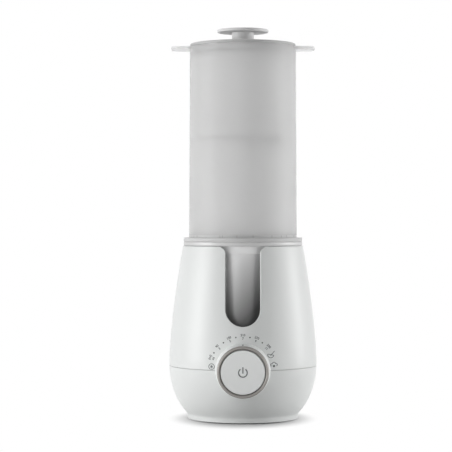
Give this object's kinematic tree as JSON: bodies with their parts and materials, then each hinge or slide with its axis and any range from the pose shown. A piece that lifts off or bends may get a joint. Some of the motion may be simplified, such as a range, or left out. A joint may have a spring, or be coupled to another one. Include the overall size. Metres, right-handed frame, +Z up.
{
  "type": "bottle warmer sterilizer",
  "caption": "Table-top baby bottle warmer with a tapered white base, window, front dial and button, and a frosted steam steriliser tower with basket, tray, ears and knobbed lid.",
  "frame": {"origin": "on the table, at the base's upright axis, in the plane of the foot pad's underside", "axes": "+Z up along the axis of the base and tower, -Y out of the front through the dial, +X to the right as seen from the front"},
  "size_m": [0.142, 0.162, 0.3755],
  "materials": {
    "white_plastic": "satin",
    "pale_plastic": "gloss",
    "frosted_plastic": "frosted",
    "grey_plastic": "satin",
    "smoke_plastic": "gloss",
    "metal_trim": "satin",
    "steel": "brushed",
    "black_plastic": "matte",
    "rubber": "matte",
    "silicone": "matte",
    "circuit_board": "satin",
    "cream_plastic": "matte",
    "red_lead": "matte"
  },
  "bodies": {
    "base": {"upper_shell": "white_plastic", "lower_shell": "white_plastic", "base_plate": "white_plastic", "dial_cup": "white_plastic", "rim_ring": "pale_plastic", "water_chamber": "smoke_plastic", "base_screws": "steel", "heater_plate": "steel", "heating_element": "steel", "heater_clamp": "steel", "clamp_screws": "steel", "temperature_sensor": "steel", "board_screws": "steel", "cup_screws": "steel", "encoder_nut": "steel", "thermostat": "black_plastic", "power_relay": "black_plastic", "supply_capacitor": "black_plastic", "encoder_body": "black_plastic", "tact_switch": "black_plastic", "foot_pad": "rubber", "cord_gland": "rubber", "chamber_seal": "silicone", "control_board": "circuit_board", "dial_board": "circuit_board", "terminal_block": "circuit_board", "lead_connectors": "cream_plastic", "ribbon_cable": "cream_plastic", "sensor_leads": "cream_plastic", "heater_leads": "red_lead"},
    "dial": {"dial_knob": "white_plastic", "dial_trim": "metal_trim", "encoder_shaft": "steel"},
    "button": {"power_button": "pale_plastic", "switch_plunger": "cream_plastic"},
    "tower": {"tower_sleeve": "frosted_plastic"},
    "basket": {"bottle_basket": "frosted_plastic"},
    "tray": {"teat_tray": "frosted_plastic"},
    "lid": {"lid": "grey_plastic", "lid_knob": "grey_plastic", "knob_screw": "steel"}
  },
  "joints": [
    {"name": "dial_turn", "type": "hinge", "parent": "base", "child": "dial", "pos_m": [0, -0.071, 0.0516], "axis": [0, 1, 0], "range_deg": [-80, 80]},
    {"name": "button_press", "type": "slide", "parent": "base", "child": "button", "axis": [0, 1, 0], "range_m": [0, 0.001], "stiffness_N_per_m": 1500, "springref_m": -0.001},
    {"name": "tower_lift", "type": "slide", "parent": "base", "child": "tower", "axis": [0, 0, 1], "range_m": [0, 0.08]},
    {"name": "basket_lift", "type": "slide", "parent": "tower", "child": "basket", "axis": [0, 0, 1], "range_m": [0, 0.19]},
    {"name": "tray_lift", "type": "slide", "parent": "basket", "child": "tray", "axis": [0, 0, 1], "range_m": [0, 0.1]},
    {"name": "lid_lift", "type": "slide", "parent": "tray", "child": "lid", "axis": [0, 0, 1], "range_m": [0, 0.05]}
  ]
}
